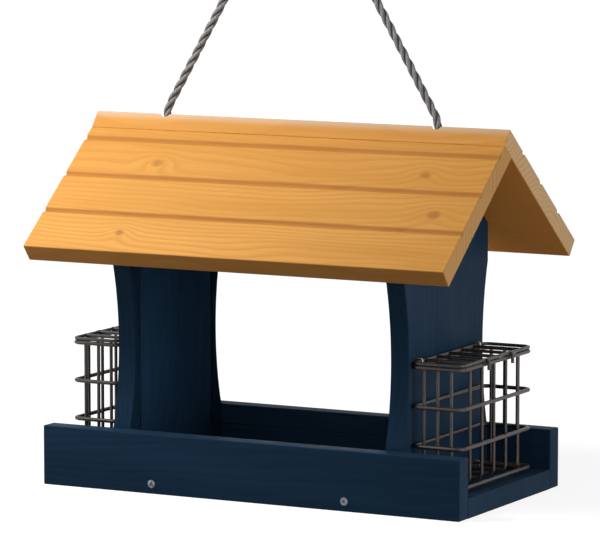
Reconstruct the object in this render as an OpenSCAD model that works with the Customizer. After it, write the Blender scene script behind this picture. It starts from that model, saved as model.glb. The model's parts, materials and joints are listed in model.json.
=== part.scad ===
// Hopper bird feeder with a grooved wood roof that slides up its hanging rope,
// two gabled end walls, clear windows, a railed tray and a wire suet cage at each end.
// Millimetres. X runs along the ridge, the front faces -Y, +Z is up, and the
// origin is under the middle of the tray.

/* [Tray] */
// Length of the tray
tray_l = 440; // [400:5:520]
// Width of the tray over its rails
tray_w = 218; // [206:2:250]
// Height of the front and back rails
rail_h = 57; // [48:1:70]
// Thickness of the rails
rail_t = 19; // [16:0.5:24]
// Thickness of the floor board
floor_t = 19; // [16:0.5:24]
// Distance of each rail screw from the middle of the rail
rail_screw_x = 102; // [80:1:120]
// Distance of each wall screw from the middle of the floor
wall_screw_y = 45; // [30:1:55]

/* [End walls] */
// Length of the house over its two end walls
house_l = 308; // [290:2:330]
// Thickness of the end walls
wall_t = 19; // [16:0.5:24]
// Width of the end walls at their curved waist
waist_w = 158; // [150:1:166]
// Height at which the waist curve ends below the gable
waist_top = 215; // [200:1:225]

/* [Roof] */
// Length of the roof along the ridge
roof_l = 440; // [420:5:500]
// Slope of the roof in degrees
roof_pitch = 38.5; // [36:0.5:42]
// Height of the ridge on the underside of the roof
peak_z = 323; // [312:1:326]
// Length of each slope along its underside
slope_l = 169; // [160:1:180]
// Thickness of the roof boards
board_t = 19; // [17:0.5:22]
// Distance between the grooves
groove_pitch = 50; // [40:1:52]
// Width of a groove
groove_w = 7; // [4:0.5:9]
// Depth of a groove
groove_d = 3; // [2:0.5:5]
// How many grooves each slope has
groove_n = 3; // [1:1:3]

/* [Windows] */
// Thickness of the clear windows
pane_t = 3; // [2:0.5:4]
// Distance of a window from the waist of the end walls
pane_inset = 9; // [7:0.5:12]
// How far a window reaches into its wall groove
pane_bite = 6; // [4:0.5:8]
// Height of the seed gap under a window
seed_gap = 22; // [15:1:30]
// Height of the windows
pane_h = 216; // [190:1:218]

/* [Suet cages] */
// Width of a cage along the end wall
cage_w = 155; // [146:1:157]
// Depth of a cage out from the end wall
cage_d = 54; // [48:1:60]
// Height of a cage without its lid
cage_h = 114; // [100:1:120]
// Wire of the hoops
hoop_d = 3.8; // [3:0.1:4.2]
// Wire of the upright bars and of the lid
bar_d = 3.2; // [2.4:0.1:3.4]
// Distance between the bars on the sides of a cage
side_pitch = 14; // [12:0.5:15]
// How many hoops a cage has
hoop_n = 4; // [3:1:5]
// How many bars the outer face and the lid have
face_bar_n = 5; // [3:1:6]
// Wire of the staples
staple_d = 1.8; // [1.4:0.1:2]
// Distance of the staples from the middle of a cage
staple_y = 62; // [58:0.5:64]
// How far a staple reaches into the wall
staple_foot = 9; // [6:0.5:15]
// Radius of the bends in the hoops and the lid
hoop_bend = 8; // [5:0.5:9]
// Radius of the bends at the foot of the outer bars
foot_bend = 5; // [3:0.5:9]
// How far the lid's catches reach down over the top hoop
catch_l = 9; // [6:0.5:12]

/* [Hanging rope] */
// Diameter of the rope
rope_d = 8; // [6:0.5:9]
// Diameter of the holes in the roof
roof_hole_d = 12; // [11.5:0.5:15]
// Height of the cross holes that hold the rope stops
stop_z = 279; // [272:1:284]
// Diameter of the cross holes
pocket_d = 20; // [19:0.5:24]
// Diameter of the rope stops
stop_d = 13; // [12:0.5:14]
// Length of the rope stops
stop_l = 12; // [8:0.5:12]
// How far the rope reaches past its stops
rope_tail = 3; // [1:0.5:4]
// Diameter of the hanging ring's wire
ring_d = 5; // [4:0.5:6]
// Radius of the hanging ring to the middle of its wire
ring_r = 17; // [15:0.5:22]

/* [Screws] */
// Diameter of the screw shanks
screw_d = 4; // [3:0.5:4.5]
// Diameter of the screw heads
head_d = 8; // [6:0.5:9]
// Height of the screw heads
head_h = 2; // [1:0.5:3]
// How far a screw reaches into the second board
screw_bite = 24; // [15:1:28]
// Distance between the ridge screws
ridge_screw_pitch = 100; // [90:1:105]
// How many ridge screws there are
ridge_screw_n = 5; // [3:2:5]

/* [Fit] */
// Gap between the roof and the gables that it rests on
seat_gap = 0.3; // [0.2:0.1:0.6]
// Gap around a screw, a staple leg or a rope stop
bore_gap = 0.1; // [0.05:0.05:0.2]
// Gap on each side of a window in its groove
pane_gap = 0.3; // [0.2:0.1:0.6]
// Gap between a cage and its wall, and between a lid and its cage
wire_gap = 0.3; // [0.2:0.1:0.5]
// Gap between the floor and the lowest staples
floor_gap = 0.7; // [0.3:0.1:2]
// Gap around the rope in its bores in the end walls
rope_gap = 0.5; // [0.3:0.1:1]
// Size of the bevels on the long edges of the boards
bevel = 1.2; // [0.5:0.1:2]

/* [Hidden] */

$fn = 48;
wire_fn = 16;
curve_fn = 180;
eps = 0.01;

// Places worked out from the sizes above
inner_w = tray_w - 2 * rail_t;
wall_x = house_l / 2;
wall_mid_x = wall_x - wall_t / 2;
gable_z = peak_z - seat_gap / cos(roof_pitch);
shoulder_z = gable_z - inner_w / 2 * tan(roof_pitch);
pane_y = waist_w / 2 - pane_inset;
pane_z = floor_t + seed_gap;
pane_l = house_l - 2 * wall_t + 2 * (pane_bite - pane_gap);
lap_l = board_t / sin(2 * roof_pitch);
lap_foot = board_t / tan(2 * roof_pitch);

// The cage wires, measured out from the wall's outer face and up from the floor
hoop_r = hoop_d / 2;
bar_r = bar_d / 2;
weld = 0.3;
cage_z = floor_t + floor_gap + staple_d + bore_gap;
cage_top = cage_z + cage_h;
hoop_in = wire_gap + hoop_r;
hoop_out = cage_d - hoop_r;
hoop_side = cage_w / 2 - hoop_r;
bar_side = hoop_side - hoop_r - bar_r + weld;
bar_out = hoop_out - hoop_r - bar_r + weld;
foot_z = cage_z + hoop_d + bar_r - weld;
lid_z = cage_top + wire_gap + bar_r;
catch_out = cage_d + wire_gap + bar_r;
// The catches are on the middle two bars of the lid, or on the two beside its middle bar
catch_step = face_bar_n % 2 == 0 ? 1 : 2;

// The low staples hold the bottom hoop, and the high ones hold the top hoop
// and the wire that the lid turns on
low_grip = hoop_d;
high_grip = hoop_d + wire_gap + bar_d;
low_staple_z = cage_z + low_grip / 2;
high_staple_z = cage_top - hoop_d + high_grip / 2;

// The rope's free stretch from one roof hole over the ring to the other, as the
// right half of its route in X and Z, from the hole up to the top
rope_half = [[144.5, 330], [144.5, 338], [144.5, 345.8], [144.1, 350.9], [142.7, 355.9], [140.5, 360.7],
    [128, 382], [115.2, 404], [102.3, 426], [89.4, 448], [76.6, 470], [63.7, 492], [50.8, 514], [38, 536],
    [31, 548], [24.2, 560], [18.6, 570], [13.4, 576.5], [7.2, 580], [0, 581.5]];
rope_start_z = rope_half[0][1];
rope_top_z = rope_half[len(rope_half) - 1][1];
rope_route = concat([for (p = rope_half) [-p[0], p[1]]],
    [for (i = [len(rope_half) - 2:-1:0]) rope_half[i]]);
rope_sides = 12;
stop_top = stop_z + sqrt(pow(pocket_d / 2, 2) - pow(stop_d / 2, 2)) - bore_gap;

navy = [0.11, 0.16, 0.29];
pine = [0.87, 0.62, 0.34];
coated = [0.16, 0.14, 0.13];
steel = [0.66, 0.67, 0.68];
cord = [0.5, 0.5, 0.51];
clear = [0.85, 0.92, 0.95, 0.35];

// A board's end view, w by h from the origin, with bevelled corners
module bevelled(w, h, b = bevel) {
    polygon([[b, 0], [w - b, 0], [w, b], [w, h - b], [w - b, h], [b, h], [0, h - b], [0, b]]);
}

// Turns an end view drawn in Y and Z into a piece that runs along X about the middle
module along_x(length) {
    rotate([90, 0, 90]) translate([0, 0, -length / 2]) linear_extrude(length) children();
}

// A screw that stands on the origin with its head up and its point down
module screw(grip) {
    translate([0, 0, -head_h]) cylinder(d1 = screw_d, d2 = head_d, h = head_h);
    translate([0, 0, -grip - screw_bite]) cylinder(d = screw_d, h = grip + screw_bite - head_h / 2);
}

// The hole that such a screw is driven into
module screw_hole(grip) {
    gap = bore_gap;
    translate([0, 0, -head_h - gap])
        cylinder(d1 = screw_d + 2 * gap, d2 = head_d + 2 * gap, h = head_h + gap + eps);
    translate([0, 0, -grip - screw_bite - gap])
        cylinder(d = screw_d + 2 * gap, h = grip + screw_bite + gap);
}

// Places a rail screw, or its hole, on the outer face of both rails
module at_rail_screws(side) {
    for (x = [-rail_screw_x, rail_screw_x])
        translate([x, side * tray_w / 2, floor_t / 2]) rotate([side * -90, 0, 0]) children();
}

// Places a wall screw, or its hole, under the floor
module at_wall_screws(side) {
    for (y = [-wall_screw_y, wall_screw_y])
        translate([side * wall_mid_x, y, 0]) rotate([180, 0, 0]) children();
}

// Turns the slope frame, with U down the slope and V square to it, into place
module on_slope(side) {
    translate([0, 0, peak_z]) rotate([side * -roof_pitch, 0, 0]) children();
}

// Places a ridge screw, or its hole, on the lap of the back roof board
module at_ridge_screws() {
    for (i = [0:ridge_screw_n - 1])
        on_slope(1) translate([(i - (ridge_screw_n - 1) / 2) * ridge_screw_pitch, -lap_l / 2, board_t])
            children();
}

module roof_holes() {
    for (side = [-1, 1])
        translate([side * wall_mid_x, 0, gable_z - roof_hole_d]) cylinder(d = roof_hole_d, h = peak_z);
}

// V grooves across a slope, counted up from the eave
module grooves() {
    for (i = [1:groove_n])
        translate([slope_l - i * groove_pitch, board_t])
            polygon([[-groove_w / 2, eps], [0, -groove_d], [groove_w / 2, eps]]);
}

module floor_board() {
    color(navy) difference() {
        translate([-tray_l / 2, -inner_w / 2, 0]) cube([tray_l, inner_w, floor_t]);
        for (side = [-1, 1]) {
            at_rail_screws(side) screw_hole(rail_t);
            at_wall_screws(side) screw_hole(floor_t);
        }
    }
}

module rail(side) {
    color(navy) difference() {
        along_x(tray_l) translate([side > 0 ? inner_w / 2 : -tray_w / 2, 0]) bevelled(rail_t, rail_h);
        at_rail_screws(side) screw_hole(rail_t);
    }
}

module front_rail() {
    rail(-1);
}

module back_rail() {
    rail(1);
}

module rail_screws() {
    color(steel) for (side = [-1, 1]) at_rail_screws(side) screw(rail_t);
}

// The end view of an end wall: a gable on a board whose edges curve in to a waist
module wall_outline() {
    half = inner_w / 2;
    sag = half - waist_w / 2;
    reach = (waist_top - rail_h) / 2;
    curve_r = (reach * reach + sag * sag) / (2 * sag);
    difference() {
        polygon([[-half, floor_t], [half, floor_t], [half, shoulder_z], [0, gable_z], [-half, shoulder_z]]);
        for (side = [-1, 1])
            translate([side * (half - sag + curve_r), rail_h + reach]) circle(r = curve_r, $fn = curve_fn);
    }
}

module end_wall(side) {
    groove_y = pane_t + 2 * pane_gap;
    inner_x = wall_x - wall_t;
    color(navy) difference() {
        translate([side * wall_mid_x, 0, 0]) along_x(wall_t) wall_outline();
        for (face = [-1, 1])
            translate([side * (inner_x + pane_bite / 2 - eps), face * pane_y, pane_z + peak_z / 2])
                cube([pane_bite + 2 * eps, groove_y, peak_z], center = true);
        translate([side * wall_mid_x, 0, stop_z]) {
            cylinder(d = rope_d + 2 * rope_gap, h = peak_z - stop_z);
            rotate([0, 90, 0]) cylinder(d = pocket_d, h = 2 * wall_t, center = true);
        }
        at_wall_screws(side) screw_hole(floor_t);
        at_staples(side, low_staple_z) staple_holes(low_grip);
        at_staples(side, high_staple_z) staple_holes(high_grip);
    }
}

module left_end_wall() {
    end_wall(-1);
}

module right_end_wall() {
    end_wall(1);
}

module wall_screws() {
    color(steel) for (side = [-1, 1]) at_wall_screws(side) screw(floor_t);
}

module window(side) {
    color(clear) translate([-pane_l / 2, side * pane_y - pane_t / 2, pane_z + pane_gap])
        cube([pane_l, pane_t, pane_h]);
}

module front_window() {
    window(-1);
}

module back_window() {
    window(1);
}

// The front board stops at the underside of the back board, which laps over it
module front_roof_board() {
    color(pine) difference() {
        on_slope(-1) along_x(roof_l) mirror([1, 0]) difference() {
            polygon([[0, 0], [slope_l - bevel, 0], [slope_l, bevel], [slope_l, board_t - bevel],
                [slope_l - bevel, board_t], [lap_foot, board_t]]);
            grooves();
        }
        roof_holes();
        at_ridge_screws() screw_hole(board_t);
    }
}

module back_roof_board() {
    color(pine) difference() {
        on_slope(1) along_x(roof_l) difference() {
            translate([-lap_l, 0]) bevelled(slope_l + lap_l, board_t);
            grooves();
        }
        roof_holes();
        at_ridge_screws() screw_hole(board_t);
    }
}

module ridge_screws() {
    color(steel) at_ridge_screws() screw(board_t);
}

// A round wire between two points
module wire(from, to, d) {
    run = to - from;
    translate(from) rotate([0, acos(run[2] / norm(run)), atan2(run[1], run[0])])
        cylinder(d = d, h = norm(run), $fn = wire_fn);
}

// A quarter bend of wire of radius r about the Z axis, from +X to +Y
module bend(r, d) {
    rotate_extrude(angle = 90) translate([r, 0]) circle(d = d, $fn = wire_fn);
}

// A closed flat frame of wire, from x0 to x1 and y1 each way, to the middle of its wire
module wire_frame(x0, x1, y1, d) {
    b = hoop_bend;
    for (end = [-1, 1]) {
        wire([x0 + b, end * y1, 0], [x1 - b, end * y1, 0], d);
        translate([x1 - b, end * (y1 - b), 0]) rotate([0, 0, end > 0 ? 0 : -90]) bend(b, d);
        translate([x0 + b, end * (y1 - b), 0]) rotate([0, 0, end > 0 ? 90 : 180]) bend(b, d);
    }
    for (x = [x0, x1]) wire([x, b - y1, 0], [x, y1 - b, 0], d);
}

// Where the bars of the outer face and of the lid stand
function face_bar_y(i) = (i - (face_bar_n - 1) / 2) * cage_w / (face_bar_n + 1);

// Puts a piece drawn with the wall's outer face at X = 0 onto an end wall
module at_wall(side) {
    translate([side * wall_x, 0, 0]) mirror([side < 0 ? 1 : 0, 0, 0]) children();
}

module cage(side) {
    hoop_step = (cage_h - hoop_d) / (hoop_n - 1);
    color(coated) at_wall(side) union() {
        for (i = [0:hoop_n - 1])
            translate([0, 0, cage_z + hoop_r + i * hoop_step])
                wire_frame(hoop_in, hoop_out, hoop_side, hoop_d);
        for (end = [-1, 1], x = [cage_d - side_pitch:-side_pitch:side_pitch / 2])
            wire([x, end * bar_side, cage_z], [x, end * bar_side, cage_top], bar_d);
        for (i = [0:face_bar_n - 1]) translate([0, face_bar_y(i), 0]) {
            wire([bar_out, 0, foot_z + foot_bend], [bar_out, 0, cage_top], bar_d);
            translate([bar_out - foot_bend, 0, foot_z + foot_bend]) rotate([-90, 0, 0])
                bend(foot_bend, bar_d);
            wire([hoop_in, 0, foot_z], [bar_out - foot_bend, 0, foot_z], bar_d);
        }
    }
}

module left_cage() {
    cage(-1);
}

module right_cage() {
    cage(1);
}

// Places the middles of two staples, or their holes, at height z on an end wall
module at_staples(side, z) {
    at_wall(side) for (y = [-staple_y, staple_y]) translate([0, y, z]) children();
}

function staple_leg_z(grip) = grip / 2 + bore_gap + staple_d / 2;

// A staple whose legs clear the wires between them by bore_gap, with its crown out from the wall
module staple(grip) {
    leg_z = staple_leg_z(grip);
    crown_x = hoop_in + hoop_r + bore_gap + staple_d / 2;
    for (end = [-1, 1]) {
        wire([-staple_foot, 0, end * leg_z], [crown_x, 0, end * leg_z], staple_d);
        translate([crown_x, 0, end * leg_z]) sphere(d = staple_d, $fn = wire_fn);
    }
    wire([crown_x, 0, -leg_z], [crown_x, 0, leg_z], staple_d);
}

module staple_holes(grip) {
    leg_z = staple_leg_z(grip);
    for (end = [-1, 1])
        wire([-staple_foot - bore_gap, 0, end * leg_z], [eps, 0, end * leg_z], staple_d + 2 * bore_gap);
}

module cage_staples(side) {
    color(steel) {
        at_staples(side, low_staple_z) staple(low_grip);
        at_staples(side, high_staple_z) staple(high_grip);
    }
}

module left_cage_staples() {
    cage_staples(-1);
}

module right_cage_staples() {
    cage_staples(1);
}

// The lid turns on its wall-side wire, and two of its bars end in catches
module cage_lid(side) {
    color(coated) at_wall(side) translate([0, 0, lid_z]) union() {
        wire_frame(hoop_in, hoop_out, hoop_side, bar_d);
        for (i = [0:face_bar_n - 1]) translate([0, face_bar_y(i), 0]) {
            wire([hoop_in, 0, 0], [hoop_out, 0, 0], bar_d);
            if (abs(2 * i - face_bar_n + 1) == catch_step) {
                wire([hoop_out, 0, 0], [catch_out, 0, 0], bar_d);
                translate([catch_out, 0, 0]) sphere(d = bar_d, $fn = wire_fn);
                wire([catch_out, 0, 0], [catch_out, 0, -catch_l], bar_d);
            }
        }
    }
}

module left_cage_lid() {
    cage_lid(-1);
}

module right_cage_lid() {
    cage_lid(1);
}

// Rings square to a route in X and Z, and the tube over them
function route_way(p, i) = let (a = p[max(i - 1, 0)], b = p[min(i + 1, len(p) - 1)]) (b - a) / norm(b - a);
function route_rings(p, r, n) = [for (i = [0:len(p) - 1], k = [0:n - 1])
    let (way = route_way(p, i), turn = 360 * (k + 0.5) / n)
    [p[i][0] - way[1] * r * cos(turn), r * sin(turn), p[i][1] + way[0] * r * cos(turn)]];
function tube_faces(m, n) = concat([[for (k = [0:n - 1]) k]],
    [for (i = [0:m - 2], k = [0:n - 1], half = [0, 1])
        let (a = i * n + k, b = i * n + (k + 1) % n)
        half == 0 ? [a, a + n, b + n] : [a, b + n, b]],
    [[for (k = [n - 1:-1:0]) (m - 1) * n + k]]);

module hanging_rope() {
    color(cord) polyhedron(points = route_rings(rope_route, rope_d / 2, rope_sides),
        faces = tube_faces(len(rope_route), rope_sides));
}

// The rope's end, from its stop in the wall up into the roof hole
module rope_end(side) {
    low = stop_top - stop_l - rope_tail;
    color(cord) translate([side * wall_mid_x, 0, low]) cylinder(d = rope_d, h = rope_start_z - low);
}

module left_rope_end() {
    rope_end(-1);
}

module right_rope_end() {
    rope_end(1);
}

module rope_stop(side) {
    color(steel) translate([side * wall_mid_x, 0, stop_top - stop_l]) difference() {
        cylinder(d = stop_d, h = stop_l);
        translate([0, 0, -eps]) cylinder(d = rope_d + bore_gap, h = stop_l + 2 * eps);
    }
}

module left_rope_stop() {
    rope_stop(-1);
}

module right_rope_stop() {
    rope_stop(1);
}

// The ring hangs on the hook above, and the rope runs through it
module hanging_ring() {
    low = rope_top_z - rope_d / 2 - bore_gap - ring_d / 2;
    color(steel) translate([0, 0, low + ring_r]) rotate([0, 90, 0])
        rotate_extrude() translate([ring_r, 0]) circle(d = ring_d);
}

floor_board();
front_rail();
back_rail();
rail_screws();
left_end_wall();
right_end_wall();
wall_screws();
front_window();
back_window();
front_roof_board();
back_roof_board();
ridge_screws();
left_cage();
right_cage();
left_cage_staples();
right_cage_staples();
left_cage_lid();
right_cage_lid();
hanging_rope();
left_rope_end();
right_rope_end();
left_rope_stop();
right_rope_stop();
hanging_ring();
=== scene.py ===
# The looks of a hanging hopper bird feeder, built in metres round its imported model.
import json
import math

import bmesh
import bpy
from mathutils import Matrix, Vector

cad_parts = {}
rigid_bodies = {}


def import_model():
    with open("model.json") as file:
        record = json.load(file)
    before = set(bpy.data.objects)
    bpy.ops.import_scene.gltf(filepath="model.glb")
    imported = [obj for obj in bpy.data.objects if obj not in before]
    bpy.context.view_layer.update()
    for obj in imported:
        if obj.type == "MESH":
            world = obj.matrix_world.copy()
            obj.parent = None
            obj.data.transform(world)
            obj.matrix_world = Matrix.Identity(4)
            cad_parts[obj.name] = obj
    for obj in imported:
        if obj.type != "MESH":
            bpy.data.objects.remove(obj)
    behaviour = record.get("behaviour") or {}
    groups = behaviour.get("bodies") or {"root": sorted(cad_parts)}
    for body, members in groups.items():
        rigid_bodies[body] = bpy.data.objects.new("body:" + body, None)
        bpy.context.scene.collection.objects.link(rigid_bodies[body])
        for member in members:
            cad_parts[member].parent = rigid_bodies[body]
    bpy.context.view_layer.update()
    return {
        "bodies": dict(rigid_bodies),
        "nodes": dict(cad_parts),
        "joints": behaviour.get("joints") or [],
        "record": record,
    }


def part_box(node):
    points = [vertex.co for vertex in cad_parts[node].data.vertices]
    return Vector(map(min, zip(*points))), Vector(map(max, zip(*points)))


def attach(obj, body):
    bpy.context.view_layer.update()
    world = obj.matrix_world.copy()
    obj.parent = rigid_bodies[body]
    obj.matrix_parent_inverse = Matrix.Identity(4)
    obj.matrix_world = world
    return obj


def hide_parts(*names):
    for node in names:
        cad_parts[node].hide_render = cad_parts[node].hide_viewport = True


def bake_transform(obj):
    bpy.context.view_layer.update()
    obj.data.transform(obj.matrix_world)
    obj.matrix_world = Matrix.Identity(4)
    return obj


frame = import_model()

MM = 0.001

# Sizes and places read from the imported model
(tray_left, front_y, _), (tray_right, rail_inner_y, rail_h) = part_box("front_rail")
rail_t = rail_inner_y - front_y
floor_half = -rail_inner_y
floor_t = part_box("floor_board")[1].z
wall_in, wall_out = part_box("right_end_wall")[0].x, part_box("right_end_wall")[1].x
gable_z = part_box("right_end_wall")[1].z
wall_mid = (wall_in + wall_out) / 2
roof_l = 2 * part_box("back_roof_board")[1].x
pane_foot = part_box("front_window")[0].z

# Sizes that follow the construction
WAIST_W = 158 * MM
WAIST_TOP = 215 * MM
ROOF_PITCH = math.radians(38.5)
SEAT_GAP = 0.3 * MM
SLOPE_L = 169 * MM
BOARD_T = 19 * MM
GROOVE_PITCH = 50 * MM
GROOVE_W = 7 * MM
GROOVE_D = 3 * MM
GROOVES = 3
PANE_BITE = 6 * MM
PANE_GROOVE = 3.6 * MM
PANE_Y = 70 * MM
RAIL_SCREW_X = 102 * MM
WALL_SCREW_Y = 45 * MM
RIDGE_SCREW_PITCH = 100 * MM
RIDGE_SCREWS = 5
SCREW_D = 4 * MM
SCREW_L = 43 * MM
HEAD_D = 8 * MM
HEAD_H = 2 * MM
HOLE_GAP = 0.1 * MM
ROUND_OVER = 1.2 * MM
FLOOR_ROUND_OVER = 0.6 * MM
WALL_ROUND_OVER = 0.9 * MM
peak_z = gable_z + SEAT_GAP / math.cos(ROOF_PITCH)
lap_l = BOARD_T / math.sin(2 * ROOF_PITCH)
lap_foot = BOARD_T / math.tan(2 * ROOF_PITCH)

# The wire cages and their staples, measured out from the wall's outer face
CAGE_W = 155 * MM
CAGE_D = 54 * MM
CAGE_H = 114 * MM
CAGE_FOOT = 21.6 * MM
HOOP_D = 3.8 * MM
BAR_D = 3.2 * MM
HOOPS = 4
FACE_BARS = 5
SIDE_BARS = 3
SIDE_PITCH = 14 * MM
HOOP_BEND = 8 * MM
FOOT_BEND = 5 * MM
CATCH_L = 9 * MM
CATCH_BEND = 2.4 * MM
WIRE_GAP = 0.3 * MM
WELD = 0.3 * MM
STAPLE_D = 1.8 * MM
STAPLE_Y = 62 * MM
STAPLE_FOOT = 9 * MM
STAPLE_BEND = 1.3 * MM
hoop_in = WIRE_GAP + HOOP_D / 2
hoop_out = CAGE_D - HOOP_D / 2
hoop_side = (CAGE_W - HOOP_D) / 2
hoop_step = (CAGE_H - HOOP_D) / (HOOPS - 1)
wire_lap = (HOOP_D + BAR_D) / 2 - WELD
cage_top = CAGE_FOOT + CAGE_H
lid_z = cage_top + WIRE_GAP + BAR_D / 2
face_pitch = CAGE_W / (FACE_BARS + 1)

# The rope, its stops and its ring
ROPE_D = 8 * MM
ROPE_LAY = 40 * MM
ROPE_START_Z = 330 * MM
ROPE_END_Z = 271.5 * MM
STOP_Z = 279 * MM
POCKET_D = 20 * MM
ROPE_BORE = 9 * MM
ROOF_HOLE_D = 12 * MM
ROOF_DRILL_L = 100 * MM
RING_D = 5 * MM
RING_R = 17 * MM
ROPE_HALF = [
    (144.5, 330), (144.5, 338), (144.5, 345.8), (144.1, 350.9), (142.7, 355.9), (140.5, 360.7), (128, 382),
    (115.2, 404), (102.3, 426), (89.4, 448), (76.6, 470), (63.7, 492), (50.8, 514), (38, 536), (31, 548),
    (24.2, 560), (18.6, 570), (13.4, 576.5), (7.2, 580), (0, 581.5),
]
rope_route = [Vector((-x, 0, z)) * MM for x, z in ROPE_HALF]
rope_route += [Vector((x, 0, z)) * MM for x, z in ROPE_HALF[-2::-1]]


# Small tools for node trees
class Graph:
    """Adds nodes to a tree. What feeds a socket is a plain value or another node's output."""

    def __init__(self, tree):
        self.tree = tree

    def add(self, kind, *feed, out=0, put=None, **settings):
        made = self.tree.nodes.new(kind)
        for key, value in settings.items():
            setattr(made, key, value)
        for key, value in [*enumerate(feed), *(put or {}).items()]:
            self.feed(made.inputs[key], value)
        return made.outputs[out]

    def feed(self, socket, value):
        if isinstance(value, bpy.types.NodeSocket):
            self.tree.links.new(value, socket)
        elif value is not None:
            socket.default_value = value

    def calc(self, operation, *values):
        return self.add("ShaderNodeMath", *values, operation=operation)

    def times(self, *values):
        return self.calc("MULTIPLY", *values)

    def times_plus(self, *values):
        """The first value times the second, plus the third."""
        return self.calc("MULTIPLY_ADD", *values)

    def vector(self, operation, *values, out=0):
        return self.add("ShaderNodeVectorMath", *values, operation=operation, out=out)

    def scaled(self, vector, factor):
        made = self.vector("SCALE", vector)
        self.feed(made.node.inputs["Scale"], factor)
        return made

    def combine(self, x=0.0, y=0.0, z=0.0):
        return self.add("ShaderNodeCombineXYZ", x, y, z)

    def split(self, vector):
        made = self.tree.nodes.new("ShaderNodeSeparateXYZ")
        self.tree.links.new(vector, made.inputs[0])
        return made.outputs

    def noise(self, point, density, detail=2.0, roughness=0.5, distortion=0.0, out="Fac"):
        """Noise whose density is one number for all ways, or one each for X, Y and Z."""
        spread = density if isinstance(density, tuple) else (density, density, density)
        put = {"Vector": self.vector("MULTIPLY", point, spread), "Scale": 1.0, "Detail": detail,
               "Roughness": roughness, "Distortion": distortion}
        return self.add("ShaderNodeTexNoise", put=put, out=out)

    def fade(self, value, low, high, start=0.0, end=1.0):
        """A soft step from start at low to end at high."""
        return self.add("ShaderNodeMapRange", value, low, high, start, end, interpolation_type="SMOOTHSTEP")

    def mix(self, share, first, second, blend="MIX"):
        put = {0: share, 6: first, 7: second}
        return self.add("ShaderNodeMix", put=put, out=2, data_type="RGBA", blend_type=blend)


def new_tree(name, kind, inputs, outputs):
    """An empty node tree with named sockets, its graph, and its sockets inside."""
    tree = bpy.data.node_groups.new(name, kind)
    for way, sockets in (("INPUT", inputs), ("OUTPUT", outputs)):
        for label, sort in sockets.items():
            tree.interface.new_socket(label, in_out=way, socket_type="NodeSocket" + sort)
    graph = Graph(tree)
    return graph, tree.nodes.new("NodeGroupInput").outputs, tree.nodes.new("NodeGroupOutput").inputs


def floats(*names):
    return dict.fromkeys(names, "Float")


def geometry_tree(name, inputs):
    """A geometry tree whose piece takes the finish that it is given."""
    return new_tree(name, "GeometryNodeTree", {**inputs, "Material": "Material"}, {"Geometry": "Geometry"})


def end_tree(graph, given, result, geometry):
    """Ends a geometry tree in plain faces with their finish."""
    put = {"Geometry": graph.add("GeometryNodeRealizeInstances", geometry), "Material": given["Material"]}
    graph.feed(result["Geometry"], graph.add("GeometryNodeSetMaterial", put=put))
    return graph.tree


# Small tools for meshes
class Shape:
    """Points and faces that are still being put together."""

    def __init__(self, points=(), faces=()):
        self.points = [Vector(p) for p in points]
        self.faces = [list(f) for f in faces]

    def __add__(self, other):
        start = len(self.points)
        return Shape(self.points + other.points, self.faces + [[start + i for i in f] for f in other.faces])

    def moved(self, matrix):
        return Shape([matrix @ p for p in self.points], self.faces)


def lathe(profile, steps=48):
    """A form turned about Z from points of radius and height. A radius of 0 is a pole."""
    points, rings, faces = [], [], []
    for radius, height in profile:
        count = steps if radius else 1
        rings.append(range(len(points), len(points) + count))
        for k in range(count):
            turn = 2 * math.pi * k / steps
            points.append((radius * math.cos(turn), radius * math.sin(turn), height))
    for low, high in zip(rings, rings[1:]):
        for k in range(steps):
            after = (k + 1) % steps
            corners = [(low, k), (low, after), (high, after), (high, k)]
            faces.append(list(dict.fromkeys(ring[i % len(ring)] for ring, i in corners)))
    return Shape(points, faces)


def prism(outline, start, end):
    """A board along X between start and end, from its end view in Y and Z."""
    n = len(outline)
    sides = [[i, (i + 1) % n, n + (i + 1) % n, n + i] for i in range(n)]
    points = [(x, y, z) for x in (start, end) for y, z in outline]
    return Shape(points, sides + [range(n), range(n, 2 * n)])


def drill(diameter, low, high, steps):
    """The round hole that a drill leaves along Z."""
    return lathe([(0, low), (diameter / 2, low), (diameter / 2, high), (0, high)], steps)


def block(low, high):
    """A box from its lowest corner to its highest."""
    (x, y, z), (far_x, far_y, far_z) = low, high
    return prism([(y, z), (far_y, z), (far_y, far_z), (y, far_z)], x, far_x)


def placed(name, data):
    """A new object in the scene."""
    made = bpy.data.objects.new(name, data)
    bpy.context.scene.collection.objects.link(made)
    return made


def piece(name, shape, material=None):
    """Makes an object of a shape, with its doubles merged and its faces outwards."""
    mesh = bpy.data.meshes.new(name)
    mesh.from_pydata(shape.points, [], shape.faces)
    work = bmesh.new()
    work.from_mesh(mesh)
    bmesh.ops.remove_doubles(work, verts=work.verts, dist=0.0001 * MM)
    bmesh.ops.recalc_face_normals(work, faces=work.faces)
    work.to_mesh(mesh)
    work.free()
    if material:
        mesh.materials.append(material)
    return placed(name, mesh)


def settle(obj):
    """Turns what an object's modifiers make of it into its plain mesh."""
    state = bpy.context.evaluated_depsgraph_get()
    made = obj.evaluated_get(state)
    made = bpy.data.meshes.new_from_object(made, preserve_all_data_layers=True, depsgraph=state)
    obj.modifiers.clear()
    obj.data = made
    return obj


def smooth(obj, angle=40):
    """Shades an object smooth up to an angle, with large faces kept flat."""
    obj.data.shade_smooth()
    obj.data.set_sharp_from_angle(angle=math.radians(angle))
    obj.modifiers.new("weigh", "WEIGHTED_NORMAL").keep_sharp = True
    return settle(obj)


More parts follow.
